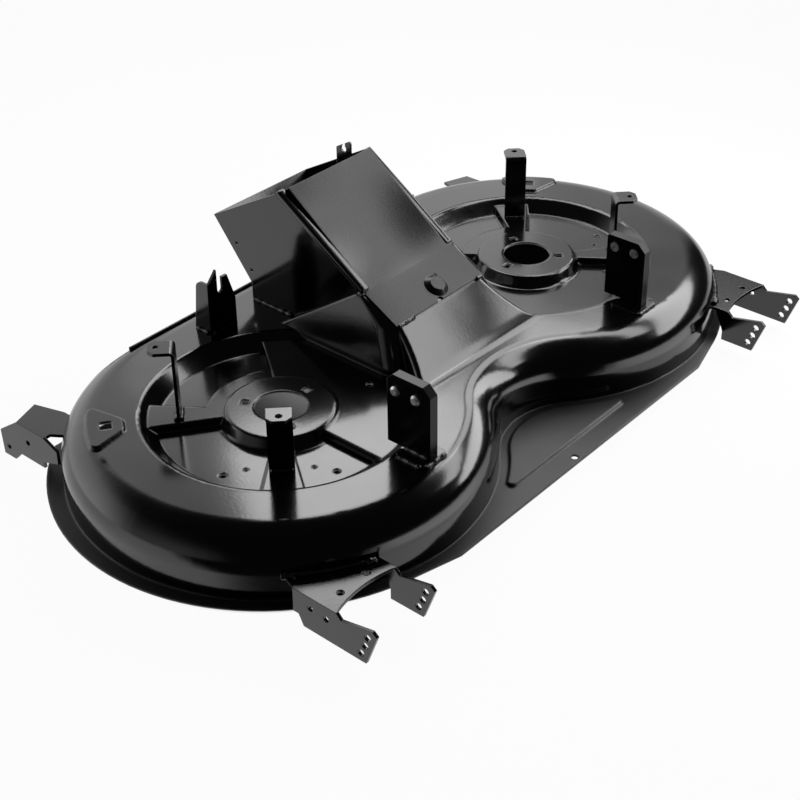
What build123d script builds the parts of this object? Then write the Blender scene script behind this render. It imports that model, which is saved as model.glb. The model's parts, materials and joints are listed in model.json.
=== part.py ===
# Twin-blade ride-on mower deck: one pressed steel shell with a rear discharge chute and
# welded hangers, straps, lift plates and wheel brackets.
# Lengths run front (-Y) to rear (+Y) from the line through both spindles, and heights are
# measured from the spindle seats, in millimetres.
import os
from math import atan2, cos, degrees, hypot, radians, sin, tan

from build123d import *

# Spindles
spindle_pitch = 496.0
bore_radius = 32.5
bolt_circle_radius = 45.0
bolt_square = 9.0
bolt_turn = 118.8

# Sheet thicknesses and the fit of welded seats
shell_sheet = 2.5
chute_sheet = 2.0
strap_sheet = 4.0
plate_sheet = 4.0
foot_sheet = 3.0
wheel_sheet = 4.0
seat_gap = 0.1
fold_radius = 6.0

# Pressed shell
skirt_radius = 265.5
waist_depth = 172.0
crown_radius = 43.0
ring_rise = 3.0
rim_depth = 78.0
rim_width = 18.5
rim_shift = 6.0
front_lip = 20.5
front_corner_reach = 6.0
rim_run_out_angle = 75.0
rear_edge = 236.0
rear_strip = 1.0
rear_strip_reach = 33.0

# Spindle pans
pan_radius = 170.0
pan_wall_run = 20.0
pan_floor_depth = 15.0
pan_lip_radius = 8.0
hub_radius = 67.0
hub_slope = 8.0
hub_edge_radius = 3.0
hub_root_radius = 5.0
rib_height = 10.0
rib_draft = 12.0
strap_rib_inner_width = 24.0
strap_rib_outer_width = 56.0
inner_floor_front_angle = -90.0
inner_floor_rear_angle = 54.0
rear_floor_inner_radius = 94.0
drain_hole_radius = 4.0
drain_holes = ((133.0, -14.0), (133.0, -73.0), (118.0, 203.0))
pilot_hole_radius = 2.5
pilot_holes = ((113.0, -23.0), (113.0, -64.0))

# Tunnel hump between the pans
hump_half_foot = 112.0
hump_half_top = 92.0
hump_shoulder = 20.0
hump_shoulder_radius = 22.0
hump_crest_radius = 2.0
hump_front_foot = 110.0
hump_foot_radius = 36.0
hump_lip = 46.0
hump_lip_height = 52.0
hump_lip_lap = 20.0
hump_peak = 6.0
hump_crest = 16.0
hump_peak_height = 80.0
hump_rear_foot = 130.0
hump_lip_radius = 10.0
hump_edge_radius = 5.0
opening_half_width = 80.0
opening_rear = 196.0
opening_front = 30.0

# Front web
web_emboss_rise = 4.0
web_emboss_draft = 40.0
web_emboss_margin = 28.0
web_emboss_gap = 11.0
web_emboss_corner = 8.0
web_hole_x = -20.0
web_hole_radius = 4.5
web_hole_margin = 9.5

# Ring boss with the square hole
boss_angle = 36.0
boss_hole_radius = 209.0
boss_inner_radius = 184.0
boss_outer_radius = 236.0
boss_tip = 26.0
boss_spread = 122.0
boss_corner = 11.0
boss_rise = 4.0
boss_root = 8.0
boss_draft = 20.0
boss_square = 14.0

# Chute
chute_half_width = 90.0
chute_rear_foot = 206.0
chute_rear_foot_height = 27.0
chute_mouth_rear = 271.0
chute_mouth_rear_height = 108.0
chute_mouth_front = 152.0
chute_mouth_front_height = 176.0
wall_hole_radius = 3.0
wall_hole_margin = 13.0
wall_hole_places = (14.0, 55.0)
cover_half_width = 78.0
cover_front_half_width = 86.0
cover_rear = 141.0
cover_notch_radius = 5.0
cover_dimple_place = (12.0, 20.0)
cover_dimple_radius = 20.0
cover_dimple_rise = 5.0
cover_dimple_draft = 55.0
cover_slot_place = (19.0, 33.0)
cover_slot_length = 14.0
cover_slot_width = 4.0
hook_sheet = 3.0
hook_front = 182.0
hook_width = 26.0
hook_height = 19.0
hook_lap = 12.0
hook_slot_radius = 5.0
hook_slot_rise = 12.0
hook_slot_width = 6.0
hook_corner = 3.0

# Rear hangers
hanger_outer = 190.0
hanger_width = 45.0
hanger_top_width = 33.0
hanger_depth = 31.0
hanger_top_depth = 23.0
hanger_front = 180.0
hanger_height = 92.0
hanger_ear_height = 78.0
hanger_shoulder_height = 40.0
hanger_side_height = 75.0
hanger_side_corner = 10.0
hanger_fold = 3.0
hanger_slot_width = 9.0
hanger_slot_inset = 15.0
hanger_slot_floor = 62.0

# Straps on the pan ribs
strap_angle = 45.0
strap_radius = 120.0
strap_width = 30.0
strap_tab = 32.0
strap_hole_radius = 4.0
strap_hole_reach = 22.0
strap_tab_corner = 7.0
rear_strap_height = 92.0
front_strap_height = 83.0

# Front lift plates
lift_inset = 24.0
lift_rear = 151.0
lift_front = 215.0
lift_top = 100.0
lift_front_chamfer = 11.0
lift_rear_chamfer = 8.0
lift_return = 13.0
lift_bolt_rear = 164.0
lift_bolt_pitch = 30.0
lift_bolt_height = 79.5
rivet_radius = 4.0
rivet_head_radius = 6.5
rivet_head = 4.5
rivet_head_chamfer = 2.5
foot_outer = 16.0
foot_inner = 26.0
foot_rear = 176.0
foot_front = 218.0

# Front wheel brackets, placed from the spindle beside them
front_leg_outer = 198.0
front_leg_inner = 104.5
front_reach = 328.0
front_heel = 207.0
front_heel_drop = 72.0
front_heel_step = 8.0
front_sole_drop = 86.0
front_sole_heel = 222.0
front_toe_rake = 16.0
front_top_drop = 40.0
front_top_edge = 271.0
front_top_bow = 8.0
front_relief = 7.0
front_toe_drop = 37.0
front_toe_run = 6.0
front_toe_tip_drop = 42.0
front_inner_heel = 250.0
front_inner_sole = 265.0
axle_hole_radius = 4.5
axle_holes = ((13.0, 49.0), (17.0, 62.0), (23.0, 75.0))
side_hole_radius = 4.0
front_side_holes = ((233.0, 55.0), (256.0, 57.0))
top_hole_radius = 4.5
top_holes = ((171.0, 252.5), (129.0, 252.5))

# Rear wheel brackets, placed from the spindle beside them
rear_leg_outer = 198.0
rear_reach = 301.0
rear_toe_drop = 62.0
rear_top_drop = 36.0
rear_top_start = 212.0
rear_toe_run = 36.0
rear_top_notch = 187.0
rear_top_root = (176.0, 196.0)
rear_top_inner = (145.0, 236.0)
rear_top_corner = (158.0, 22.0)
rear_heel = 188.0
rear_heel_top_drop = 46.0
rear_heel_drop = 65.0
rear_step = 217.0
rear_rim_gap = 1.5
rear_sole_drop = 83.0
rear_sole_run = 14.0
rear_foot_length = 22.0
rear_foot_rake = 2.0
rear_foot_drop = 97.0
rear_side_holes = ((14.0, 82.0), (56.0, 58.0))

# Derived frame: the legs' reach is centred on the origin and the legs stand on the ground
spindle_y = (front_reach - rear_reach) / 2
seat_z = rear_foot_drop
half_pitch = spindle_pitch / 2
ring_z = seat_z + ring_rise
rim_z = seat_z - rim_depth
floor_z = seat_z - pan_floor_depth
rib_z = floor_z + rib_height
rim_radius = skirt_radius + rim_width
pan_floor_radius = pan_radius - pan_wall_run
hub_base_radius = hub_radius + hub_slope
front_edge = skirt_radius + front_lip
web_emboss_front = front_edge - web_emboss_margin
lift_x = half_pitch - lift_inset


def level(z):
    """Horizontal plane at a height, centred on the spindle line."""
    return Plane((0, spindle_y, z))


def side_plane(x):
    """Plane across the deck at x: local axes run front to rear and upwards from the seats."""
    return Plane((x, spindle_y, seat_z), x_dir=(0, 1, 0), z_dir=(1, 0, 0))


def on_lobe(side, radius, angle):
    """Point round a spindle: 0 degrees is outwards and positive angles turn to the rear."""
    turn = radians(angle)
    return (side * (half_pitch + radius * cos(turn)), radius * sin(turn))


def bolt_first_angle(side):
    """Start angle of the three carriage-bolt holes, mirrored between the two spindles."""
    return bolt_turn if side < 0 else 180 - bolt_turn


def waist_points(radius, depth):
    """Tangent points and middle of the concave front waist between two lobes."""
    blend = (half_pitch**2 + depth**2 - radius**2) / (2 * (radius - depth))
    centre_y = depth + blend
    share = radius / (radius + blend)
    touch = (half_pitch * (1 - share), -centre_y * share)
    return touch, (0, -depth)


def lobe_sketch(plane, inset):
    """Plan outline of the skirt: two lobes, a front waist and a tangent rear side."""
    radius = skirt_radius - inset
    touch, middle = waist_points(radius, waist_depth - inset)
    with BuildSketch(plane) as outline:
        with BuildLine():
            ThreePointArc((-touch[0], touch[1]), middle, touch)
            ThreePointArc(touch, (half_pitch + radius, 0), (half_pitch, radius))
            Line((half_pitch, radius), (-half_pitch, radius))
            ThreePointArc((-half_pitch, radius), (-half_pitch - radius, 0), (-touch[0], touch[1]))
        make_face()
    return outline.sketch


def between(value, start, end, first, last):
    """Straight-line value between two stations."""
    return first + (last - first) * (value - start) / (end - start)


def hump_form(skin):
    """Tunnel hump with tapered sides and rounded shoulders, offset inwards by the skin."""
    back_shift = skin / sin(atan2(hump_peak_height - ring_rise, hump_rear_foot - hump_crest))
    crest = hump_peak_height - 1.5 * skin
    crest_front = between(crest, hump_lip_height, hump_peak_height, -hump_lip, hump_peak)
    sections = (
        (ring_rise, -hump_lip - hump_shoulder, hump_shoulder_radius),
        (hump_lip_height - skin, skin - hump_lip, hump_shoulder_radius),
        (crest, crest_front + skin, hump_crest_radius + skin),
    )
    with BuildPart() as hump:
        for height, front, corner in sections:
            rear = between(height, ring_rise, hump_peak_height, hump_rear_foot, hump_crest) - back_shift
            half = between(height, ring_rise, hump_peak_height, hump_half_foot, hump_half_top) - skin
            with BuildSketch(level(seat_z + height)):
                with BuildLine():
                    FilletPolyline(
                        (half, rear), (half, front + skin), (-half, front + skin), (-half, rear),
                        radius=corner - skin,
                    )
                    Line((-half, rear), (half, rear))
                make_face()
        loft(ruled=True)
        extrude(hump.faces().sort_by(Axis.Z)[0], amount=ring_rise + pan_floor_depth)
    return hump.part


def nose_form(skin):
    """Ramp from the front waist up to the hump's lip, as wide as the pans leave room for."""
    slope_turn = atan2(hump_lip_height - ring_rise, hump_front_foot - hump_lip)
    corner_shift = skin * tan(slope_turn / 2)
    start = crown_radius - waist_depth + seat_gap
    lip = corner_shift - hump_lip
    end = lip + hump_lip_lap
    low = -pan_floor_depth
    with BuildPart() as nose:
        with BuildSketch(side_plane(0)):
            with BuildLine():
                FilletPolyline(
                    (start, low), (start, ring_rise - skin),
                    (corner_shift - hump_front_foot, ring_rise - skin),
                    (lip, hump_lip_height - skin), (end, hump_lip_height - skin), (end, low),
                    radius=(0, hump_foot_radius + skin, hump_lip_radius - skin, 0),
                )
                Line((end, low), (start, low))
            make_face()
        extrude(amount=half_pitch, both=True)
        with BuildSketch(level(seat_z + low)):
            for side in (-1, 1):
                with Locations((side * half_pitch, 0)):
                    Circle(pan_radius + skin)
        extrude(amount=hump_lip_height - low, mode=Mode.SUBTRACT)
        rounds = nose.faces().filter_by(GeomType.CYLINDER)
        pan_walls = rounds.filter_by(lambda f: abs(f.radius - pan_radius - skin) < seat_gap)
        upper = pan_walls.edges().filter_by(lambda e: e.center().Z > seat_z).filter_by(Axis.Z, reverse=True)
        fillet(upper, hump_edge_radius - skin)
    return nose.part


def shell_form(skin):
    """Filled form under the pressed surface, offset inwards by the skin."""
    top = ring_z - skin
    floor = floor_z - skin
    wall_rise = ring_rise + pan_floor_depth
    wall_shift = skin * hypot(pan_wall_run, wall_rise) / wall_rise
    hump = hump_form(skin)
    nose = nose_form(skin)
    with BuildPart() as form:
        add(lobe_sketch(level(0), skin))
        extrude(amount=top)
        fillet(form.faces().sort_by(Axis.Z)[-1].edges(), crown_radius - skin)
        for side in (-1, 1):
            with BuildSketch(level(floor)):
                with Locations((side * half_pitch, 0)):
                    Circle(pan_floor_radius + wall_shift)
            extrude(amount=top - floor, taper=-degrees(atan2(pan_wall_run, wall_rise)), mode=Mode.SUBTRACT)
        lips = form.edges().filter_by(GeomType.CIRCLE).group_by(Axis.Z)[-1]
        pan_lips = lips.filter_by(lambda e: abs(e.radius - pan_radius - wall_shift) < seat_gap)
        fillet(pan_lips, pan_lip_radius - skin)
        for side in (-1, 1):
            hub_top = seat_z - skin
            spindle = (side * half_pitch, spindle_y, 0)
            with BuildSketch(Plane(spindle, x_dir=(1, 0, 0), z_dir=(0, -1, 0))):
                with BuildLine():
                    FilletPolyline(
                        (hub_base_radius + hub_slope, floor), (hub_base_radius - skin, floor),
                        (hub_radius - skin, hub_top), (0, hub_top),
                        radius=(hub_root_radius + skin, hub_edge_radius - skin),
                    )
                    Polyline((0, hub_top), (0, floor), (hub_base_radius + hub_slope, floor))
                make_face()
            revolve(axis=Axis(spindle, (0, 0, 1)))
            for turn in (-1, 1):
                inner = strap_rib_inner_width / 2 - skin
                outer = strap_rib_outer_width / 2 - skin
                along = Plane(
                    (side * half_pitch, spindle_y, floor),
                    x_dir=(side * cos(radians(strap_angle)), turn * sin(radians(strap_angle)), 0),
                    z_dir=(0, 0, 1),
                )
                with BuildSketch(along):
                    Polygon(
                        (0, -inner), (hub_radius, -inner), (pan_radius, -outer),
                        (pan_radius, outer), (hub_radius, inner), (0, inner), align=None,
                    )
                extrude(amount=rib_height, taper=rib_draft)
            start = on_lobe(side, pan_radius, 180 - inner_floor_front_angle)
            end = on_lobe(side, pan_radius, 180 - inner_floor_rear_angle)
            with BuildSketch(level(floor)):
                Polygon(
                    (side * half_pitch, 0),
                    start,
                    (side * (half_pitch - pan_radius), start[1]),
                    (side * (half_pitch - pan_radius), end[1]),
                    end,
                    align=None,
                )
            extrude(amount=rib_height, taper=rib_draft)
            with BuildSketch(level(floor)):
                with Locations((side * half_pitch, 0)):
                    Circle(rear_floor_inner_radius - skin)
                outer_line = on_lobe(side, pan_radius, strap_angle)
                Polygon((side * half_pitch, 0), outer_line, end, align=None, mode=Mode.INTERSECT)
            extrude(amount=rib_height, taper=rib_draft)
            boss_plane = Plane(
                (side * half_pitch, spindle_y, top - boss_root),
                x_dir=(side * cos(radians(boss_angle)), sin(radians(boss_angle)), 0),
                z_dir=(0, 0, 1),
            )
            with BuildSketch(boss_plane) as pad:
                Circle(boss_outer_radius)
                Polygon(
                    (boss_inner_radius, -boss_tip / 2), (boss_outer_radius, -boss_spread / 2),
                    (boss_outer_radius, boss_spread / 2), (boss_inner_radius, boss_tip / 2),
                    align=None, mode=Mode.INTERSECT,
                )
                fillet(pad.vertices(), boss_corner)
                if skin > 0:
                    offset(amount=-skin, mode=Mode.REPLACE)
            extrude(amount=boss_rise + boss_root, taper=boss_draft)
        add(hump)
        add(nose)
    return form.part


def web_emboss(inset):
    """Rounded triangle pressed up in the front web, parallel to the waist."""
    with BuildSketch() as emboss:
        with Locations((0, -web_emboss_front + web_emboss_front / 2)):
            Rectangle(2 * half_pitch, web_emboss_front)
        add(lobe_sketch(Plane.XY, -web_emboss_gap), mode=Mode.SUBTRACT)
        tips = emboss.faces().sort_by(Axis.Y)[0]
    with BuildSketch() as rounded:
        add(tips)
        fillet(rounded.vertices().group_by(Axis.Y)[0], web_emboss_corner)
        if inset > 0:
            offset(amount=-inset, mode=Mode.REPLACE)
    return rounded.sketch


outer_form = shell_form(0)
inner_form = shell_form(shell_sheet)

with BuildPart() as deck_shell:
    add(outer_form)
    with BuildSketch(level(rim_z)):
        for side in (-1, 1):
            with Locations((side * half_pitch, rim_shift)):
                Circle(rim_radius)
        run_out = on_lobe(1, rim_radius - rim_shift, -rim_run_out_angle)
        corner = half_pitch + front_corner_reach
        Polygon(
            (-run_out[0], run_out[1]), (-corner, -front_edge), (corner, -front_edge), run_out,
            (run_out[0], 0), (-run_out[0], 0), align=None,
        )
    extrude(amount=shell_sheet)
    with BuildSketch(level(rim_z + shell_sheet)):
        add(web_emboss(0))
    extrude(amount=web_emboss_rise, taper=web_emboss_draft)
    with BuildSketch(level(rim_z)):
        add(web_emboss(shell_sheet / 2))
    extrude(amount=web_emboss_rise, taper=web_emboss_draft, mode=Mode.SUBTRACT)
    add(inner_form, mode=Mode.SUBTRACT)
    with BuildSketch(level(0)):
        with Locations((0, rear_edge + rim_radius / 2)):
            Rectangle(4 * rim_radius, rim_radius)
    extrude(amount=2 * ring_z, mode=Mode.SUBTRACT)
    with BuildSketch(level(0)):
        Rectangle(4 * rim_radius, 4 * rim_radius)
    extrude(amount=rim_z, mode=Mode.SUBTRACT)
    with BuildSketch(level(rim_z + rim_depth / 2)):
        with Locations((0, (opening_rear - opening_front) / 2)):
            Rectangle(2 * opening_half_width, opening_rear + opening_front)
    extrude(amount=rim_depth + hump_peak_height, mode=Mode.SUBTRACT)
    for side in (-1, 1):
        with BuildSketch(level(floor_z)):
            with Locations((side * half_pitch, 0)):
                Circle(bore_radius)
                with PolarLocations(bolt_circle_radius, 3, start_angle=bolt_first_angle(side)):
                    Rectangle(bolt_square, bolt_square)
        extrude(amount=2 * pan_floor_depth, mode=Mode.SUBTRACT)
        with BuildSketch(level(floor_z - 2 * shell_sheet)):
            for radius, angle in drain_holes:
                with Locations(on_lobe(side, radius, angle)):
                    Circle(drain_hole_radius)
            for radius, angle in pilot_holes:
                with Locations(on_lobe(side, radius, angle)):
                    Circle(pilot_hole_radius)
        extrude(amount=4 * shell_sheet + rib_height, mode=Mode.SUBTRACT)
        with BuildSketch(level(ring_z - 2 * shell_sheet)):
            with Locations(on_lobe(side, boss_hole_radius, boss_angle)):
                Rectangle(boss_square, boss_square, rotation=side * boss_angle)
        extrude(amount=4 * shell_sheet + boss_rise, mode=Mode.SUBTRACT)
    with BuildSketch(level(rim_z)):
        with Locations((web_hole_x, web_hole_margin - front_edge)):
            Circle(web_hole_radius)
    extrude(amount=shell_sheet, mode=Mode.SUBTRACT)

# Rear plate that closes the trimmed pressing, with a straight strip standing above the crown
with BuildPart() as rear_plate:
    add(outer_form)
    with BuildSketch(level(rim_z)):
        with Locations((0, rear_edge + shell_sheet / 2)):
            Rectangle(4 * rim_radius, shell_sheet)
    extrude(amount=ring_z, mode=Mode.INTERSECT)
    with BuildSketch(level(rim_z)):
        with Locations((0, rear_edge + shell_sheet / 2)):
            Rectangle(2 * (half_pitch + rear_strip_reach), shell_sheet)
    extrude(amount=ring_z + rear_strip - rim_z)

# Chute: stations in the mid-plane, as distance behind the spindle line and height above the seats
slope_foot = (-hump_lip, hump_lip_height + seat_gap)
ridge_foot = (hump_peak, hump_peak_height + seat_gap)
ridge_top = (chute_mouth_front, chute_mouth_front_height)
mouth_rear = (chute_mouth_rear, chute_mouth_rear_height)


def mouth_height(place):
    """Height of the chute's mouth edge at a distance behind the spindle line."""
    return between(place, mouth_rear[0], ridge_top[0], mouth_rear[1], ridge_top[1])


cover_end = (cover_rear, mouth_height(cover_rear))
deck_top = ring_rise + seat_gap
hump_back = seat_gap + hump_crest
ridge_at_crest = between(hump_back, ridge_foot[0], ridge_top[0], ridge_foot[1], ridge_top[1])

with BuildPart() as chute_side_left:
    with BuildSketch(side_plane(-chute_half_width)):
        Polygon(
            (hump_back, ridge_foot[1]), (hump_rear_foot + seat_gap, deck_top),
            (chute_rear_foot, deck_top), (chute_rear_foot, chute_rear_foot_height),
            mouth_rear, ridge_top, (hump_back, ridge_at_crest), align=None,
        )
        lean = atan2(mouth_rear[1] - chute_rear_foot_height, mouth_rear[0] - chute_rear_foot)
        for place in wall_hole_places:
            hole_y = chute_rear_foot + place * cos(lean) - wall_hole_margin * sin(lean)
            hole_z = chute_rear_foot_height + place * sin(lean) + wall_hole_margin * cos(lean)
            with Locations((hole_y, hole_z)):
                Circle(wall_hole_radius, mode=Mode.SUBTRACT)
    extrude(amount=chute_sheet)

with BuildPart() as chute_side_right:
    mirror(chute_side_left.part, about=Plane.YZ)

with BuildPart() as chute_rear_wall:
    with BuildSketch(side_plane(0)):
        with BuildLine():
            FilletPolyline(
                (chute_rear_foot, deck_top), (chute_rear_foot, chute_rear_foot_height), mouth_rear,
                radius=fold_radius,
            )
            offset(amount=chute_sheet, side=Side.LEFT)
        make_face()
    extrude(amount=chute_half_width - chute_sheet, both=True)

slope = degrees(atan2(hump_peak_height - hump_lip_height, hump_peak + hump_lip))
with BuildPart() as chute_cover:
    with BuildSketch(side_plane(0)):
        with BuildLine():
            Polyline(ridge_foot, cover_end)
            offset(amount=chute_sheet, side=Side.LEFT)
        make_face()
    extrude(amount=cover_half_width, both=True)
    with BuildSketch(side_plane(0)):
        with BuildLine():
            Polyline(slope_foot, ridge_foot, cover_end)
            offset(amount=chute_sheet, side=Side.LEFT)
        make_face()
        with Locations((hump_peak + hump_half_foot, hump_peak_height)):
            Rectangle(2 * hump_half_foot, 4 * hump_peak_height, mode=Mode.SUBTRACT)
    extrude(amount=cover_front_half_width, both=True)
    for side in (-1, 1):
        with BuildSketch(side_plane(side * cover_half_width)):
            Polygon(ridge_foot, ridge_top, cover_end, align=None)
        extrude(amount=-side * chute_sheet)
        with BuildSketch(side_plane(side * chute_half_width)):
            with BuildLine():
                Polyline(ridge_foot, ridge_top)
                offset(amount=chute_sheet, side=Side.LEFT)
            make_face()
        extrude(amount=side * (cover_half_width - chute_sheet - chute_half_width))
    panel = Plane(
        (0, spindle_y + slope_foot[0], seat_z + slope_foot[1]),
        x_dir=(1, 0, 0), z_dir=(0, -sin(radians(slope)), cos(radians(slope))),
    )
    with BuildSketch(panel):
        with Locations(cover_dimple_place):
            Circle(cover_dimple_radius)
    extrude(amount=cover_dimple_rise + chute_sheet, taper=cover_dimple_draft)
    with BuildSketch(panel):
        with Locations(cover_dimple_place):
            Circle(cover_dimple_radius - chute_sheet)
    extrude(amount=cover_dimple_rise, taper=cover_dimple_draft, mode=Mode.SUBTRACT)
    with BuildSketch(panel):
        Circle(cover_notch_radius)
        with Locations(cover_slot_place):
            SlotOverall(cover_slot_length, cover_slot_width)
    extrude(amount=2 * chute_sheet + cover_dimple_rise, mode=Mode.SUBTRACT)

hook_rear = hook_front + hook_width
hook_middle = hook_front + hook_width / 2
with BuildPart() as chute_hook:
    with BuildSketch(side_plane(chute_half_width - chute_sheet)) as hook_face:
        Polygon(
            (hook_front, mouth_height(hook_front) - hook_lap),
            (hook_rear, mouth_height(hook_rear) - hook_lap),
            (hook_rear, mouth_height(hook_rear) + hook_height),
            (hook_front, mouth_height(hook_front) + hook_height),
            align=None,
        )
        fillet(hook_face.vertices(), hook_corner)
        with Locations((hook_middle, mouth_height(hook_middle) + hook_slot_rise)):
            Circle(hook_slot_radius, mode=Mode.SUBTRACT)
        with Locations((hook_middle, mouth_height(hook_middle) + hook_slot_rise + hook_height / 2)):
            Rectangle(hook_slot_width, hook_height, mode=Mode.SUBTRACT)
    extrude(amount=-hook_sheet)

# Rear hangers: angle brackets with an open slot for the lift link
hanger_plane = Plane((0, spindle_y + hanger_front, seat_z), x_dir=(1, 0, 0), z_dir=(0, -1, 0))
hanger_inner = hanger_outer - hanger_width
hanger_top_inner = hanger_outer - hanger_top_width
slot_x = hanger_outer - hanger_slot_inset
with BuildPart() as rear_hanger_left:
    with BuildSketch(hanger_plane):
        Polygon(
            (-hanger_outer, deck_top), (-hanger_inner, deck_top),
            (-hanger_inner, hanger_shoulder_height), (-hanger_top_inner, hanger_ear_height),
            (-slot_x, hanger_ear_height), (-slot_x, hanger_height), (-hanger_outer, hanger_side_height),
            align=None,
        )
        with Locations((-slot_x + hanger_slot_width / 2, hanger_slot_floor)):
            Circle(hanger_slot_width / 2, mode=Mode.SUBTRACT)
        with Locations((-slot_x + hanger_slot_width / 2, (hanger_slot_floor + hanger_height) / 2)):
            Rectangle(hanger_slot_width, hanger_height - hanger_slot_floor, mode=Mode.SUBTRACT)
    extrude(amount=-plate_sheet)
    with BuildSketch(side_plane(-hanger_outer)) as hanger_side:
        Polygon(
            (hanger_front, deck_top), (hanger_front + hanger_depth, deck_top),
            (hanger_front + hanger_top_depth, hanger_side_height), (hanger_front, hanger_side_height),
            align=None,
        )
        fillet(hanger_side.vertices().group_by(Axis.Y)[-1].sort_by(Axis.X)[-1], hanger_side_corner)
    extrude(amount=plate_sheet)
    fold = rear_hanger_left.edges().filter_by(Axis.Z).group_by(Axis.X)[0].sort_by(Axis.Y)[0]
    fillet(fold, hanger_fold)

with BuildPart() as rear_hanger_right:
    mirror(rear_hanger_left.part, about=Plane.YZ)


def strap(turn, height):
    """Folded strap on a pan rib: upright across the rib, tab bent outwards at the top."""
    foot = on_lobe(-1, strap_radius, turn * strap_angle)
    outward = (-cos(radians(strap_angle)), turn * sin(radians(strap_angle)), 0)
    centre = (foot[0], spindle_y + foot[1], seat_z)
    with BuildPart() as folded:
        with BuildSketch(Plane(centre, x_dir=outward, z_dir=(outward[1], -outward[0], 0))):
            with BuildLine():
                FilletPolyline(
                    (0, rib_z - seat_z + seat_gap), (0, height), (strap_tab, height), radius=fold_radius,
                )
                offset(amount=strap_sheet, side=Side.RIGHT)
            make_face()
        extrude(amount=strap_width / 2, both=True)
        tab_end = folded.edges().filter_by(Axis.Z).group_by(Axis.Z)[-1]
        chamfer(tab_end, strap_tab_corner)
        with BuildSketch(Plane((centre[0], centre[1], seat_z + height), x_dir=outward, z_dir=(0, 0, 1))):
            with Locations((strap_hole_reach, 0)):
                Circle(strap_hole_radius)
        extrude(amount=-strap_sheet, mode=Mode.SUBTRACT)
    return folded.part


with BuildPart() as rear_strap_left:
    add(strap(1, rear_strap_height))

with BuildPart() as rear_strap_right:
    mirror(rear_strap_left.part, about=Plane.YZ)

with BuildPart() as front_strap_left:
    add(strap(-1, front_strap_height))

with BuildPart() as front_strap_right:
    mirror(front_strap_left.part, about=Plane.YZ)

# Front lift plates on doubler feet, each with two rivets
lift_base = ring_rise + seat_gap + foot_sheet
rivet_places = [(-lift_bolt_rear - step * lift_bolt_pitch, lift_bolt_height) for step in range(2)]

with BuildPart() as lift_foot_left:
    with BuildSketch(level(ring_z + seat_gap)):
        with Locations((-lift_x + (foot_inner - foot_outer) / 2, -(foot_front + foot_rear) / 2)):
            RectangleRounded(foot_outer + foot_inner, foot_front - foot_rear, foot_sheet)
    extrude(amount=foot_sheet)

with BuildPart() as lift_foot_right:
    mirror(lift_foot_left.part, about=Plane.YZ)

with BuildPart() as lift_plate_left:
    rear_top = (-lift_rear, lift_top - lift_rear_chamfer)
    top_rear = (-lift_rear - lift_rear_chamfer, lift_top)
    top_front = (-lift_front + lift_front_chamfer, lift_top)
    front_top = (-lift_front, lift_top - lift_front_chamfer)
    with BuildSketch(side_plane(-lift_x)):
        Polygon(
            (-lift_rear, lift_base), rear_top, top_rear, top_front, front_top, (-lift_front, lift_base),
            align=None,
        )
        with Locations(*rivet_places):
            Circle(rivet_radius + seat_gap, mode=Mode.SUBTRACT)
    extrude(amount=plate_sheet)
    with BuildSketch(side_plane(-lift_x)):
        with BuildLine():
            Polyline(top_rear, top_front, front_top, (-lift_front, lift_base))
            offset(amount=plate_sheet, side=Side.LEFT)
        make_face()
    extrude(amount=lift_return)

with BuildPart() as lift_plate_right:
    mirror(lift_plate_left.part, about=Plane.YZ)

with BuildPart() as lift_plate_rivets:
    for side in (-1, 1):
        face = side_plane(side * lift_x)
        with BuildSketch(face):
            with Locations(*rivet_places):
                Circle(rivet_radius)
        extrude(amount=-side * (plate_sheet + seat_gap))
        with BuildSketch(face):
            with Locations(*rivet_places):
                Circle(rivet_head_radius)
        extrude(amount=side * rivet_head)
        with BuildSketch(side_plane(side * (lift_x - plate_sheet - seat_gap))):
            with Locations(*rivet_places):
                Circle(rivet_head_radius)
        extrude(amount=-side * rivet_head / 2)
    heads = lift_plate_rivets.edges().filter_by(GeomType.CIRCLE).group_by(Axis.X)
    chamfer(heads[0] + heads[-1], rivet_head_chamfer)


def skirt_clear(plane):
    """Plan outline of the skirt with the weld seat, for cutting a bracket to the shell."""
    return lobe_sketch(plane, -seat_gap)


# Front wheel brackets: a channel over the rim with a long outer leg and a short inner one
outer_x = -half_pitch - front_leg_outer
inner_x = -half_pitch - front_leg_inner
top_z = -front_top_drop
toe = (
    (front_toe_run - front_reach, -front_toe_drop),
    (-front_reach, -front_toe_tip_drop),
    (front_toe_rake - front_reach, -front_sole_drop),
)
axle_places = [(back - front_reach, -drop) for back, drop in axle_holes]
relief = (-front_top_edge - front_relief, top_z - front_relief)

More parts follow.
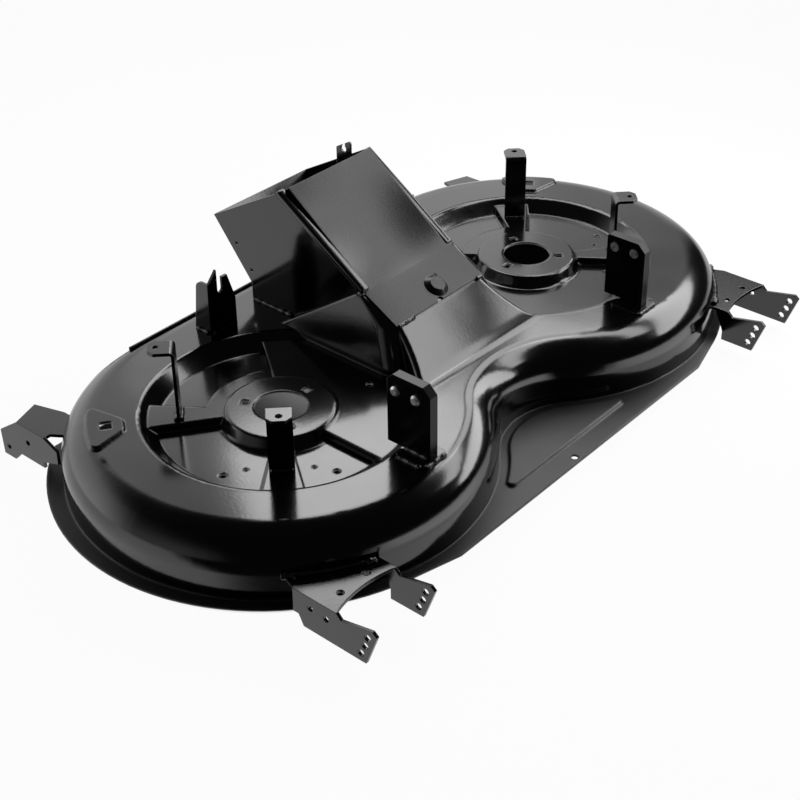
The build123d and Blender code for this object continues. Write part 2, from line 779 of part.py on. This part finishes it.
with BuildPart() as front_wheel_bracket_left:
    with BuildSketch(level(seat_z + top_z - wheel_sheet)):
        with BuildLine():
            Polyline(
                (outer_x, -front_top_edge), (outer_x, -front_heel), (inner_x, 0),
                (inner_x + wheel_sheet, 0), (inner_x + wheel_sheet, -front_top_edge),
            )
            middle = (outer_x + inner_x + wheel_sheet) / 2
            ThreePointArc(
                (inner_x + wheel_sheet, -front_top_edge), (middle, front_top_bow - front_top_edge),
                (outer_x, -front_top_edge),
            )
        make_face()
        add(skirt_clear(Plane.XY), mode=Mode.SUBTRACT)
        for reach, front in top_holes:
            with Locations((-half_pitch - reach, -front)):
                Circle(top_hole_radius, mode=Mode.SUBTRACT)
    extrude(amount=wheel_sheet)
    with BuildSketch(side_plane(outer_x)):
        Polygon(
            (-front_heel, top_z), (-front_top_edge, top_z), relief, *toe,
            (-front_sole_heel, -front_sole_drop), (-front_heel - front_heel_step, -front_heel_drop),
            (-front_heel, -front_heel_drop), align=None,
        )
        with Locations(*axle_places):
            Circle(axle_hole_radius, mode=Mode.SUBTRACT)
        with Locations(*[(-front, -drop) for front, drop in front_side_holes]):
            Circle(side_hole_radius, mode=Mode.SUBTRACT)
    extrude(amount=wheel_sheet)
    with BuildSketch(side_plane(inner_x)):
        Polygon(
            (-front_inner_heel, top_z), (-front_top_edge, top_z), relief, *toe,
            (-front_inner_sole, -front_sole_drop), (-front_inner_sole, -front_heel_drop), align=None,
        )
        with Locations(*axle_places):
            Circle(axle_hole_radius, mode=Mode.SUBTRACT)
    extrude(amount=wheel_sheet)

with BuildPart() as front_wheel_bracket_right:
    mirror(front_wheel_bracket_left.part, about=Plane.YZ)

# Rear wheel brackets: an angle with one leg behind the skirt
rear_x = -half_pitch - rear_leg_outer
rear_top_z = -rear_top_drop
rear_top_end = rear_reach - rear_toe_run
rear_foot_end = rear_reach - rear_foot_rake
rear_foot_start = rear_foot_end - rear_foot_length
notch_x = -half_pitch - rear_top_notch
root_x = -half_pitch - rear_top_root[0]
web_x = -half_pitch - rear_top_inner[0]
corner_x = -half_pitch - rear_top_corner[0]

with BuildPart() as rear_wheel_bracket_left:
    with BuildSketch(level(seat_z + rear_top_z - wheel_sheet)):
        Polygon(
            (rear_x, rear_top_start), (notch_x, rear_top_start), (root_x, rear_top_root[1]),
            (web_x, rear_top_root[1]), (web_x, rear_top_inner[1]),
            (corner_x, rear_reach - rear_top_corner[1]), (rear_x, rear_top_end), align=None,
        )
        add(skirt_clear(Plane.XY), mode=Mode.SUBTRACT)
    extrude(amount=wheel_sheet)
    with BuildSketch(side_plane(rear_x)):
        Polygon(
            (rear_top_start, rear_top_z), (rear_top_end, rear_top_z), (rear_reach, -rear_toe_drop),
            (rear_foot_end, -rear_foot_drop), (rear_foot_start, -rear_foot_drop),
            (rear_foot_start - rear_sole_run, -rear_sole_drop), (rear_step, -rear_sole_drop),
            (rear_step, shell_sheet + rear_rim_gap - rim_depth), (rear_heel, -rear_heel_drop),
            (rear_heel, -rear_heel_top_drop), align=None,
        )
        with Locations(*[(rear_reach - back, -drop) for back, drop in rear_side_holes]):
            Circle(side_hole_radius, mode=Mode.SUBTRACT)
    extrude(amount=wheel_sheet)

with BuildPart() as rear_wheel_bracket_right:
    mirror(rear_wheel_bracket_left.part, about=Plane.YZ)

pieces = {
    "deck_shell": deck_shell,
    "rear_plate": rear_plate,
    "chute_side_left": chute_side_left,
    "chute_side_right": chute_side_right,
    "chute_rear_wall": chute_rear_wall,
    "chute_cover": chute_cover,
    "chute_hook": chute_hook,
    "rear_hanger_left": rear_hanger_left,
    "rear_hanger_right": rear_hanger_right,
    "rear_strap_left": rear_strap_left,
    "rear_strap_right": rear_strap_right,
    "front_strap_left": front_strap_left,
    "front_strap_right": front_strap_right,
    "lift_foot_left": lift_foot_left,
    "lift_foot_right": lift_foot_right,
    "lift_plate_left": lift_plate_left,
    "lift_plate_right": lift_plate_right,
    "lift_plate_rivets": lift_plate_rivets,
    "front_wheel_bracket_left": front_wheel_bracket_left,
    "front_wheel_bracket_right": front_wheel_bracket_right,
    "rear_wheel_bracket_left": rear_wheel_bracket_left,
    "rear_wheel_bracket_right": rear_wheel_bracket_right,
}
os.makedirs("parts", exist_ok=True)
for name, piece in pieces.items():
    piece.part.label = name
    export_step(piece.part, f"parts/{name}.step")
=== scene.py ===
import json
import math

import bmesh
import bpy
from mathutils import Matrix, Vector


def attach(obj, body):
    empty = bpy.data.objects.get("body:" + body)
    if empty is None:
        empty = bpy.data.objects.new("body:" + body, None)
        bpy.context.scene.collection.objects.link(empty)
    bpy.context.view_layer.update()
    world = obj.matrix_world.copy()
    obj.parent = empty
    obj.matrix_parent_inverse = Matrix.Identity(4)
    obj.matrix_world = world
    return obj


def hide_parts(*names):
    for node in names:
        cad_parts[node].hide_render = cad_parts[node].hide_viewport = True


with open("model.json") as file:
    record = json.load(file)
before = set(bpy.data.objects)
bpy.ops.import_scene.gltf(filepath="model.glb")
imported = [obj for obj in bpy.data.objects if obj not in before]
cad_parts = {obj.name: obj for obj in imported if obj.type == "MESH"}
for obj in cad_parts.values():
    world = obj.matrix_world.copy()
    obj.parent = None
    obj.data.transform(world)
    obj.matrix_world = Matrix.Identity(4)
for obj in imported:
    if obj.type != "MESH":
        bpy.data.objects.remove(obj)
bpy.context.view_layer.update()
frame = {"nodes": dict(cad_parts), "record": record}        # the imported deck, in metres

nodes = frame["nodes"]
print("frame loaded:", len(nodes), "nodes")


# shader maths written as plain sums
class Wire:
    def __init__(self, tree, socket=None):
        self.tree = tree
        self.socket = socket

    def node(self, kind, settings=None, inputs=None, output=0):
        made = self.tree.nodes.new("ShaderNode" + kind)
        for name, value in (settings or {}).items():
            setattr(made, name, value)
        for name, value in (inputs or {}).items():
            if isinstance(value, Wire):
                self.tree.links.new(value.socket, made.inputs[name])
            else:
                made.inputs[name].default_value = value
        return Wire(self.tree, made.outputs[output])

    def math(self, operation, *values):
        return self.node("Math", {"operation": operation}, dict(enumerate(values)))

    def __add__(self, other):
        return self.math("ADD", self, other)

    def __radd__(self, other):
        return self.math("ADD", other, self)

    def __sub__(self, other):
        return self.math("SUBTRACT", self, other)

    def __rsub__(self, other):
        return self.math("SUBTRACT", other, self)

    def __mul__(self, other):
        return self.math("MULTIPLY", self, other)

    def __rmul__(self, other):
        return self.math("MULTIPLY", other, self)

    def __abs__(self):
        return self.math("ABSOLUTE", self)

    def larger(self, other):
        return self.math("MAXIMUM", self, other)

    def axis(self, letter):  # one part of a place or a direction
        return self.node("SeparateXYZ", None, {0: self}, letter)

    def band(self, low, high, start=0.0, end=1.0):  # smooth step from start to end
        settings = {"interpolation_type": "SMOOTHSTEP"}
        ends = {"From Min": low, "From Max": high, "To Min": start, "To Max": end}
        return self.node("MapRange", settings, {"Value": self, **ends})

    def noise(self, scale, detail=2.0, rough=0.5):
        values = {"Vector": self, "Scale": scale, "Detail": detail, "Roughness": rough}
        return self.node("TexNoise", None, values, "Fac")

    def blend(self, first, second):  # colours, self is the share of the second
        settings = {"data_type": "RGBA"}
        return self.node("Mix", settings, {0: self, 6: first, 7: second}, 2)


def newTree(holder):  # a material or a world
    holder.use_nodes = True
    holder.node_tree.nodes.clear()
    return Wire(holder.node_tree)


def surface(wire, shader, kind="Material"):
    out = wire.tree.nodes.new("ShaderNodeOutput" + kind)
    wire.tree.links.new(shader.socket, out.inputs["Surface"])


# gloss black paint, baked on over pressed sheet
paintLook = {
    "colour": (0.0010, 0.0010, 0.0012, 1.0),
    "dustColour": (0.010, 0.010, 0.0105, 1.0),
    "dustShare": 0.25,
    "dustRoughness": 0.2,
    "facingUp": (0.2, 0.95),      # dust lies on what faces up
    "mottleScale": 6.0,           # scales are per metre
    "mottleBand": (0.42, 0.75),
    "speckScale": 900.0,
    "speckBand": (0.66, 0.74),
    "roughness": 0.13,
    "roughnessSpread": 0.06,
    "patchScale": 22.0,           # glossier and duller patches
    "peelScale": 260.0,           # orange peel
    "peelDepth": 0.00003,
    "waveScale": 9.0,             # slow waviness of the drawn sheet
    "waveDepth": 0.0006,
    "edgeRadius": 0.0012,         # soft paint over cut edges
    "shine": 0.75,
    "dullBelow": (0.030, 0.042),  # heights between which the low web and rim turn duller
    "dullness": 0.0,
}


def paint(name, **changes):
    look = {**paintLook, **changes}
    material = bpy.data.materials.new(name)
    wire = newTree(material)
    place = wire.node("TexCoord", None, None, "Object")
    upward = wire.node("NewGeometry", None, None, "Normal").axis("Z").band(*look["facingUp"])
    mottle = place.noise(look["mottleScale"], 4.0, 0.6).band(*look["mottleBand"])
    specks = place.noise(look["speckScale"], 1.0).band(*look["speckBand"])
    dust = upward * (mottle * 0.5 + specks * 0.5) * look["dustShare"]
    colour = dust.blend(look["colour"], look["dustColour"])
    patches = (place.noise(look["patchScale"], 3.0, 0.6) - 0.5) * look["roughnessSpread"]
    low = upward * place.axis("Z").band(*look["dullBelow"], 1.0, 0.0)
    rough = patches + look["roughness"] + dust * look["dustRoughness"] + low * look["dullness"]
    edge = wire.node("Bevel", {"samples": 8}, {"Radius": look["edgeRadius"]})
    wave = wire.node("Bump", None, {
        "Strength": 1.0, "Distance": look["waveDepth"],
        "Height": place.noise(look["waveScale"], 1.0), "Normal": edge})
    peel = wire.node("Bump", None, {
        "Strength": 1.0, "Distance": look["peelDepth"],
        "Height": place.noise(look["peelScale"], 1.0), "Normal": wave})
    shader = wire.node("BsdfPrincipled", None, {
        "Base Color": colour, "Roughness": rough, "Normal": peel,
        "Specular IOR Level": look["shine"]})
    surface(wire, shader)
    return material


# bright plated rivets with a few dull stains
rivetLook = {
    "colour": (0.78, 0.78, 0.76, 1.0),
    "darkColour": (0.30, 0.30, 0.29, 1.0),
    "roughness": 0.42,
    "stainRoughness": 0.2,
    "stainScale": 240.0,
    "stainBand": (0.45, 0.7),
    "grainScale": 1500.0,
    "grainDepth": 0.0001,
    "grainStrength": 0.4,
}


def rivetSteel(name, look):
    material = bpy.data.materials.new(name)
    wire = newTree(material)
    place = wire.node("TexCoord", None, None, "Object")
    stain = place.noise(look["stainScale"], 4.0, 0.65).band(*look["stainBand"])
    colour = stain.blend(look["colour"], look["darkColour"])
    rough = stain * look["stainRoughness"] + look["roughness"]
    grain = wire.node("Bump", None, {
        "Strength": look["grainStrength"], "Distance": look["grainDepth"],
        "Height": place.noise(look["grainScale"], 2.0)})
    shader = wire.node("BsdfPrincipled", None, {
        "Base Color": colour, "Roughness": rough, "Normal": grain, "Metallic": 1.0})
    surface(wire, shader)
    return material


finishes = {
    "deck_paint": paint(
        "deckPaint", edgeRadius=0.0045, waveScale=7.0, waveDepth=0.0016, dullness=0.40),
    "chute_paint": paint("chutePaint"),
    "bracket_paint": paint("bracketPaint", roughness=0.19, waveDepth=0.0003),
    "rivet_steel": rivetSteel("rivetSteel", rivetLook),
}
coverPaint = paint(
    "coverPaint", roughness=0.29, shine=0.45, peelScale=420.0, peelDepth=0.00013,
    waveScale=5.0, waveDepth=0.006)
liftPaint = paint("liftPaint", roughness=0.24, shine=0.2)
weldPaint = paint("weldPaint", roughness=0.18, edgeRadius=0.0004, peelDepth=0.0001)

for part in frame["record"]["subparts"]:
    nodes[part["node"]].material_slots[0].material = finishes[part["material_slot"]]
nodes["chute_cover"].material_slots[0].material = coverPaint
for side in ("left", "right"):
    nodes["lift_plate_" + side].material_slots[0].material = liftPaint
print("finishes set on", len(nodes), "nodes")


# the welds' places are in millimetres from midway between the spindle seats
spindleSeats = {"lobe": 248.0, "back": 13.5, "up": 97.0}


def deckPoint(x, y, z):
    return Vector((x, y + spindleSeats["back"], z + spindleSeats["up"])) / 1000.0


def straightRun(start, end):
    first, last = deckPoint(*start), deckPoint(*end)
    return lambda share: first.lerp(last, share)


def arcRun(reach, fromAngle, toAngle, height):  # round the left spindle
    def place(share):
        angle = math.radians(fromAngle + (toAngle - fromAngle) * share)
        x = reach * math.cos(angle) - spindleSeats["lobe"]
        return deckPoint(x, reach * math.sin(angle), height)
    return place


def bothSides(run):  # the run and its mirror image on the other lobe
    mirror = Matrix.Scale(-1.0, 3, Vector((1.0, 0.0, 0.0)))
    return [run, lambda share: mirror @ run(share)]


# one bead, in metres: a short tube with a rippled back
weldLook = {
    "radius": 0.0028,
    "pitch": 0.0016,
    "sides": 12,
    "ripple": 0.035,
    "waves": ((2.4, 1.0), (0.7, 2.5)),  # a fast and a slow ripple: step and weight
    "taper": 0.55,                      # share of the radius at both ends
}


def pushTube(shape, run, look):  # a ring pushed along its run, step by step
    radius, waves = look["radius"], look["waves"]
    samples = 16
    length = sum((run((i + 1) / samples) - run(i / samples)).length for i in range(samples))
    steps = max(2, round(length / look["pitch"]))
    heading = (run(1.0 / steps) - run(0.0)).normalized()
    spin = heading.to_track_quat("Z", "Y").to_matrix().to_4x4()
    ring = bmesh.ops.create_circle(
        shape, cap_ends=True, segments=look["sides"], radius=radius * look["taper"],
        matrix=Matrix.Translation(run(0.0)) @ spin)["verts"]
    face = ring[0].link_faces[0]
    for i in range(1, steps + 1):
        here = run(i / steps)
        grown = bmesh.ops.extrude_face_region(shape, geom=[face])["geom"]
        ring = [item for item in grown if isinstance(item, bmesh.types.BMVert)]
        face = [item for item in grown if isinstance(item, bmesh.types.BMFace)][0]
        turned = (run(min(1.0, (i + 1) / steps)) - run((i - 1) / steps)).normalized()
        bend = heading.rotation_difference(turned).to_matrix()
        heading = turned
        middle = sum((v.co for v in ring), Vector()) / len(ring)
        bmesh.ops.rotate(shape, verts=ring, cent=middle, matrix=bend)
        bmesh.ops.translate(shape, verts=ring, vec=here - middle)
        swell = 1.0 + look["ripple"] * sum(weight * math.sin(i * step) for step, weight in waves)
        if i == steps:
            swell = look["taper"]
        now = sum((v.co - here).length for v in ring) / len(ring)
        grow = swell * radius / now
        bmesh.ops.scale(shape, verts=ring, vec=(grow, grow, grow), space=Matrix.Translation(-here))


def makePiece(name, shape, finish, crease=32.0):  # degrees past which an edge stays sharp
    bmesh.ops.recalc_face_normals(shape, faces=shape.faces)
    for face in shape.faces:
        face.smooth = True
    mesh = bpy.data.meshes.new(name)
    shape.to_mesh(mesh)
    shape.free()
    mesh.set_sharp_from_angle(angle=math.radians(crease))
    mesh.materials.append(finish)
    piece = bpy.data.objects.new(name, mesh)
    bpy.context.scene.collection.objects.link(piece)
    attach(piece, "root")
    return piece


def makeWelds(name, runs, look):
    shape = bmesh.new()
    for run in runs:
        pushTube(shape, run, look)
    makePiece(name, shape, weldPaint)


def pairedLines(look):
    return [run for line in look["lines"] for run in bothSides(straightRun(*line))]


def pairedArcs(look):
    runs = []
    for start, end in look["spans"]:
        runs += bothSides(arcRun(look["reach"], start, end, look["height"]))
    return runs


strapWeld = {
    **weldLook,
    "reaches": (118.8, 125.2),  # either side of the strap's foot, out from the spindle
    "slant": 0.7071,            # the straps stand at 45 degrees
    "half": 9.6,
    "height": -4.2,
}


def strapRuns(look):
    runs = []
    half, height = look["half"], look["height"]
    for turn in (-1, 1):  # front strap, then rear strap
        for reach in look["reaches"]:
            x = -spindleSeats["lobe"] - reach * look["slant"]
            y = turn * reach * look["slant"]
            start, end = (x - half, y - turn * half, height), (x + half, y + turn * half, height)
            runs += bothSides(straightRun(start, end))
    return runs


makeWelds("strapWelds", strapRuns(strapWeld), strapWeld)

hangerWeld = {
    **weldLook,
    "lines": (
        ((-188.0, 178.8, 3.8), (-147.0, 178.8, 3.8)),  # along the front
        ((-191.2, 184.0, 3.8), (-191.2, 208.0, 3.8)),  # along the outer side
    ),
}
makeWelds("hangerWelds", pairedLines(hangerWeld), hangerWeld)

liftWeld = {
    **weldLook,
    "radius": 0.0032,
    "lines": (
        ((-225.2, -178.0, 7.0), (-225.2, -213.0, 7.0)),  # plate on its foot
        ((-241.0, -179.0, 4.0), (-241.0, -215.0, 4.0)),  # foot on the deck, outer side
        ((-237.0, -219.0, 4.0), (-201.0, -219.0, 4.0)),  # foot on the deck, front
    ),
}
makeWelds("liftWelds", pairedLines(liftWeld), liftWeld)

wheelWeld = {
    **weldLook,
    "radius": 0.0032,
    "reach": 266.8,
    "height": -39.2,
    "spans": ((-134.5, -114.5),),
}
makeWelds("wheelBracketWelds", pairedArcs(wheelWeld), wheelWeld)

cornerWeld = {  # heavier where the wheel bracket's weld starts and ends
    **weldLook,
    "radius": 0.0048,
    "ripple": 0.05,
    "reach": 267.6,
    "height": -39.5,
    "spans": ((-136.2, -132.8), (-116.0, -113.2)),
}
makeWelds("cornerWelds", pairedArcs(cornerWeld), cornerWeld)

chuteWeld = {
    **weldLook,
    "lines": (((-91.0, 132.0, 3.8), (-91.0, 203.0, 3.8)),),  # foot of each side wall
    "lip": (
        ((-84.0, -47.2, 53.0), (-52.0, -47.2, 53.0)),
        ((72.0, -47.2, 53.0), (84.0, -47.2, 53.0)),
    ),
}
lipRuns = [straightRun(*line) for line in chuteWeld["lip"]]
makeWelds("chuteWelds", pairedLines(chuteWeld) + lipRuns, chuteWeld)
print("welds made")


# the cover's panel sags a little between its folds, as thin sheet does
coverShape = {
    "foot": (0.0195, 0.1771),  # y and z of the fold above the lip
    "end": (0.1545, 0.2793),
    "halfWidth": 0.076,
    "sag": 0.008,
    "fields": (20, 22),        # across and along
    "reach": 0.003,            # how far off the panel's plane a point still belongs to it
    "crease": 6.0,
}


def makeCover(look):
    shape = bmesh.new()
    shape.from_mesh(nodes["chute_cover"].data)
    bmesh.ops.remove_doubles(shape, verts=shape.verts, dist=0.00002)
    foot, end = Vector((0.0, *look["foot"])), Vector((0.0, *look["end"]))
    slope = (end - foot).normalized()
    length = (end - foot).length
    out = Vector((0.0, -slope.z, slope.y))
    sideways = Vector((1.0, 0.0, 0.0))
    across, along = look["fields"]
    cuts = [(sideways * look["halfWidth"] * (2 * i / across - 1), sideways) for i in range(across + 1)]
    cuts += [(foot + slope * length * i / along, slope) for i in range(1, along)]
    for place, way in cuts:
        everything = shape.verts[:] + shape.edges[:] + shape.faces[:]
        bmesh.ops.bisect_plane(shape, geom=everything, dist=0.000005, plane_co=place, plane_no=way)
    for vert in shape.verts:
        share = (vert.co - foot).dot(slope) / length
        side = vert.co.x / look["halfWidth"]
        onPanel = abs((vert.co - foot).dot(out)) < look["reach"]
        if onPanel and 0.0 < share < 1.0 and abs(side) < 1.0:
            bow = 6.75 * share * (1.0 - share) ** 2  # 1 at its deepest, a third of the way up
            vert.co -= out * look["sag"] * (1.0 - side * side) * bow
    piece = makePiece("chuteCoverSheet", shape, coverPaint, look["crease"])
    if "custom_normal" in piece.data.attributes:  # the CAD mesh's own normals don't fit the sag
        piece.data.attributes.remove(piece.data.attributes["custom_normal"])
    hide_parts("chute_cover")


# folded edges of the cover, a flattened round along both flanges
edgeShape = {
    "from": (-83.5, 6.5, 84.0),
    "to": (-83.5, 150.5, 178.6),
    "width": 0.0138,
    "height": 0.0076,
    "round": 0.0034,
    "rightDrop": (0.0, 0.0016, -0.0024),  # the right one is folded flatter
}


def makeEdges(look):
    shape = bmesh.new()
    first, last = deckPoint(*look["from"]), deckPoint(*look["to"])
    way = last - first
    size = Matrix.Diagonal((look["width"], way.length, look["height"], 1.0))
    lean = Matrix.Rotation(math.atan2(way.z, way.y), 4, "X")
    middle = Matrix.Translation((first + last) / 2)
    bmesh.ops.create_cube(shape, size=1.0, matrix=middle @ lean @ size)
    bmesh.ops.bevel(
        shape, geom=shape.edges[:], offset=look["round"], affect="EDGES",
        segments=6, profile=0.5, material=-1)
    whole = shape.verts[:] + shape.edges[:] + shape.faces[:]
    twin = bmesh.ops.duplicate(shape, geom=whole)["geom"]
    points = [item for item in twin if isinstance(item, bmesh.types.BMVert)]
    bmesh.ops.scale(shape, verts=points, vec=(-1.0, 1.0, 1.0))
    bmesh.ops.translate(shape, verts=points, vec=look["rightDrop"])
    makePiece("chuteCoverEdges", shape, finishes["chute_paint"])


makeCover(coverShape)
makeEdges(edgeShape)
print("cover and its folded edges made")


def plainRays(wire):  # what the camera sees straight or through something clear
    seen = wire.node("LightPath", None, None, "Is Camera Ray")
    through = wire.node("LightPath", None, None, "Is Transmission Ray")
    return seen + through


# pale floor, with painted shade under the deck where the bores show it and a painted light patch under
# the left bore
floorLook = {
    "radius": 9.0,
    "colour": (0.80, 0.80, 0.80, 1.0),
    "white": 0.96,                   # share of plain white the camera sees, the rest keeps the shadow
    "lobe": 0.248,                   # the painted shade's plan is two rounds joined, these are their middles
    "middle": 0.0215,
    "paintedShadeReach": (0.258, 0.268),     # their reach, where the painted shade turns to pale
    "rearEdge": (0.27, 0.31, 0.2245, 0.2405),  # how far back the painted shade goes, from the middle to the ends
    "rearFade": 0.006,
    # painted shade: how dark the floor is coloured under the deck
    "paintedShadeLevel": 0.02,
    "paintedLightPatch": 0.85,               # painted light patch on the floor under the left bore
    "paintedLightAt": (-0.127, 0.117, 0.0),
    "paintedLightReach": (0.05, 0.09),
}


def makeFloor(look):
    mesh = bpy.data.meshes.new("floor")
    shape = bmesh.new()
    bmesh.ops.create_circle(shape, cap_ends=True, segments=96, radius=look["radius"])
    shape.to_mesh(mesh)
    shape.free()
    floor = bpy.data.objects.new("floor", mesh)
    bpy.context.scene.collection.objects.link(floor)
    material = bpy.data.materials.new("paleFloor")
    wire = newTree(material)
    place = wire.node("TexCoord", None, None, "Object")
    wide, y = abs(place.axis("X")), place.axis("Y") - look["middle"]
    past = (wide - look["lobe"]).larger(0.0)
    away = wire.math("SQRT", past * past + y * y)
    behind = (y - wide.band(*look["rearEdge"])).band(0.0, look["rearFade"])
    # painted shade: outside this mask the floor keeps its pale colour, inside it is coloured dark
    clear = away.band(*look["paintedShadeReach"]).larger(behind)
    paintedLightDistance = wire.node("VectorMath", {"operation": "DISTANCE"}, {0: place, 1: look["paintedLightAt"]}, "Value")
    # painted light patch under the left bore, painted shade elsewhere under the deck
    paintedShadeAndLight = paintedLightDistance.band(*look["paintedLightReach"], look["paintedLightPatch"], look["paintedShadeLevel"])
    under = wire.node("CombineXYZ", None, {0: paintedShadeAndLight, 1: paintedShadeAndLight, 2: paintedShadeAndLight})
    pale = wire.node("BsdfDiffuse", None, {"Color": clear.blend(under, look["colour"])})
    white = wire.node("Emission", None, {"Color": (1.0, 1.0, 1.0, 1.0), "Strength": 1.0})
    share = plainRays(wire) * clear * look["white"]
    surface(wire, wire.node("MixShader", None, {0: share, 1: pale, 2: white}))
    mesh.materials.append(material)
    floor.visible_glossy = False  # the surround shows the paint its own pale floor


# what the paint mirrors: a dark studio with pale patches, each by direction, spread and height
surroundLook = {
    "rear": {  # pale wall behind the deck
        "toward": (-0.09, 0.996), "spread": (0.55, 0.9), "height": (0.56, 0.86, 1.0, 0.0), "glow": 1.2},
    "side": {  # its right end, which both rings show
        "toward": (0.5, 0.866), "spread": (0.68, 0.82), "height": (0.60, 0.70, 1.0, 0.0), "glow": 1.0},
    "left": {
        "toward": (-0.82, 0.57), "spread": (0.55, 0.9), "height": (0.05, 0.7, 1.0, 0.2), "glow": 0.32},
    "pool": {  # more light on the floor under the main softbox
        "toward": (0.5, -0.866), "spread": (0.72, 0.95), "height": (-0.5, -0.4), "glow": 0.75},
    "dark": {"toward": (-0.766, -0.643), "spread": (0.60, 0.78)},  # floor on the camera's side
    "floorGlow": 0.85,
    "horizon": (-0.10, 0.0, 1.0, 0.0),
    "gloom": 0.02,
}


def facing(aim, patch):
    east, north = patch["toward"]
    return (aim.axis("X") * east + aim.axis("Y") * north).band(*patch["spread"])


def patchGlow(aim, patch):
    return facing(aim, patch) * aim.axis("Z").band(*patch["height"]) * patch["glow"]


def makeSurround(look):
    world = bpy.data.worlds.new("surround")
    bpy.context.scene.world = world
    wire = newTree(world)
    aim = wire.node("TexCoord", None, None, "Generated")
    walls = patchGlow(aim, look["rear"]).larger(patchGlow(aim, look["side"]))
    walls = walls + patchGlow(aim, look["left"])
    below = aim.axis("Z").band(*look["horizon"])
    floor = patchGlow(aim, look["pool"]) + look["floorGlow"]
    floor = (1.0 - facing(aim, look["dark"])) * floor * below
    plain = plainRays(wire)
    level = plain + (1.0 - plain) * (floor + (1.0 - below) * walls + look["gloom"])
    light = wire.node("Background", None, {"Color": (1.0, 1.0, 1.0, 1.0), "Strength": level})
    surface(wire, light, "World")


# softboxes: which way they stand, how far off, their size and how bright their face is
lampLook = {
    "mainHigh": {
        "turn": 67.5, "rise": 49.4, "roll": 21.0, "away": 1.07,
        "size": (0.96, 0.20), "shape": "RECTANGLE", "glow": 4.7},
    "mainLow": {
        "turn": 68.0, "rise": 27.8, "roll": 16.0, "away": 1.06,
        "size": (1.30, 0.38), "shape": "ELLIPSE", "glow": 5.6},
    "link": {
        "turn": 110.0, "rise": 42.0, "roll": 8.0, "away": 1.12,
        "size": (0.22, 0.50), "shape": "RECTANGLE", "glow": 3.8},
    "rear": {
        "turn": 138.0, "rise": 49.0, "roll": 6.0, "away": 1.10,
        "size": (0.50, 0.42), "shape": "RECTANGLE", "glow": 4.6},
    "rearLow": {
        "turn": 140.0, "rise": 24.0, "roll": 0.0, "away": 1.15,
        "size": (0.85, 0.46), "shape": "RECTANGLE", "glow": 0.6},
}


def makeLamps(look):
    middle = Vector((0.0, 0.0, 0.1))  # they all face the deck
    for name, box in look.items():
        width, height = box["size"]
        turn, rise, roll = (math.radians(box[key]) for key in ("turn", "rise", "roll"))
        flat = math.cos(rise)
        aim = Vector((math.sin(turn) * flat, -math.cos(turn) * flat, math.sin(rise)))
        lamp = bpy.data.lights.new(name + "Softbox", "AREA")
        lamp.shape = box["shape"]
        lamp.size = width
        lamp.size_y = height
        area = width * height * (math.pi / 4 if box["shape"] == "ELLIPSE" else 1.0)
        lamp.energy = box["glow"] * math.pi * area
        holder = bpy.data.objects.new(name + "Softbox", lamp)
        spin = aim.to_track_quat("Z", "Y").to_matrix().to_4x4() @ Matrix.Rotation(roll, 4, "Z")
        holder.matrix_world = Matrix.Translation(middle + aim * box["away"]) @ spin
        holder.visible_camera = False
        bpy.context.scene.collection.objects.link(holder)


cameraLook = {
    "turn": -49.55,  # degrees about the deck, from straight ahead
    "rise": 31.37,
    "roll": -0.45,
    "at": (-1.3435, -1.1320, 1.1735),
    "lens": 70.96,
    "shift": (-0.0165, -0.0955),
}


def makeCamera(look):
    turn, rise, roll = (math.radians(look[key]) for key in ("turn", "rise", "roll"))
    spin = Matrix.Rotation(turn, 4, "Z") @ Matrix.Rotation(math.pi / 2 - rise, 4, "X")
    lens = bpy.data.cameras.new("camera")
    lens.lens = look["lens"]
    lens.shift_x, lens.shift_y = look["shift"]
    camera = bpy.data.objects.new("camera", lens)
    camera.matrix_world = Matrix.Translation(look["at"]) @ spin @ Matrix.Rotation(roll, 4, "Z")
    bpy.context.scene.collection.objects.link(camera)
    bpy.context.scene.camera = camera


makeFloor(floorLook)
makeSurround(surroundLook)
makeLamps(lampLook)
makeCamera(cameraLook)
bpy.context.scene.view_settings.view_transform = "Standard"
print("stage, lamps and camera set")
